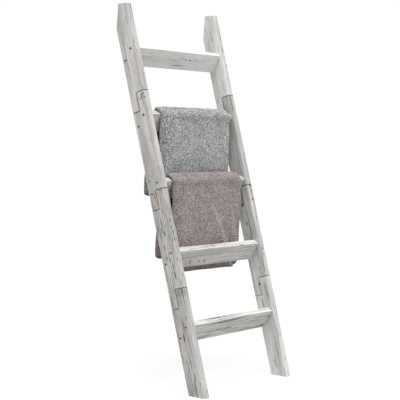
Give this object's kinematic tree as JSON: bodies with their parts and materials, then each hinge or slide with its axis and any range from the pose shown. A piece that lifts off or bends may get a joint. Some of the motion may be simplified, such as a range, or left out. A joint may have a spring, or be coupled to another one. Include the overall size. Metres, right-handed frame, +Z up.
{
  "type": "leaning ladder towel rack",
  "caption": "Leaning ladder towel rack of whitewashed pine: half-lapped rails, tilted board rungs screwed between them, towels hung over the middle rungs.",
  "frame": {"origin": "on the floor, midway between the rails, and midway between the front of the feet and the wall", "axes": "+Z up, +X along the rungs to the right as seen from the front, +Y towards the wall that the rack leans on"},
  "size_m": [0.5, 0.415, 1.37],
  "materials": {
    "whitewashed_pine": "distressed whitewash, matt",
    "dark_screw_steel": "bronzed, dull",
    "grey_towelling": "heathered terry",
    "mauve_towelling": "heathered terry"
  },
  "bodies": {
    "ladder": {"left_lap_1_screws": "dark_screw_steel", "left_lap_2_screws": "dark_screw_steel", "left_lap_3_screws": "dark_screw_steel", "left_rail_foot_section": "whitewashed_pine", "left_rail_lower_section": "whitewashed_pine", "left_rail_top_section": "whitewashed_pine", "left_rail_upper_section": "whitewashed_pine", "right_lap_1_screws": "dark_screw_steel", "right_lap_2_screws": "dark_screw_steel", "right_lap_3_screws": "dark_screw_steel", "right_rail_foot_section": "whitewashed_pine", "right_rail_lower_section": "whitewashed_pine", "right_rail_top_section": "whitewashed_pine", "right_rail_upper_section": "whitewashed_pine", "rung_1": "whitewashed_pine", "rung_1_left_screws": "dark_screw_steel", "rung_1_right_screws": "dark_screw_steel", "rung_2": "whitewashed_pine", "rung_2_left_screws": "dark_screw_steel", "rung_2_right_screws": "dark_screw_steel", "rung_3": "whitewashed_pine", "rung_3_left_screws": "dark_screw_steel", "rung_3_right_screws": "dark_screw_steel", "rung_4": "whitewashed_pine", "rung_4_left_screws": "dark_screw_steel", "rung_4_right_screws": "dark_screw_steel", "rung_5": "whitewashed_pine", "rung_5_left_screws": "dark_screw_steel", "rung_5_right_screws": "dark_screw_steel"},
    "grey_towel_body": {"grey_towel": "grey_towelling"},
    "mauve_towel_body": {"mauve_towel": "mauve_towelling"}
  },
  "joints": [
    {"name": "grey_towel_slides", "type": "slide", "parent": "ladder", "child": "grey_towel_body", "axis": [1, 0, 0], "range_m": [-0.03, 0.012]},
    {"name": "mauve_towel_slides", "type": "slide", "parent": "ladder", "child": "mauve_towel_body", "axis": [1, 0, 0], "range_m": [-0.022, 0.026]}
  ]
}
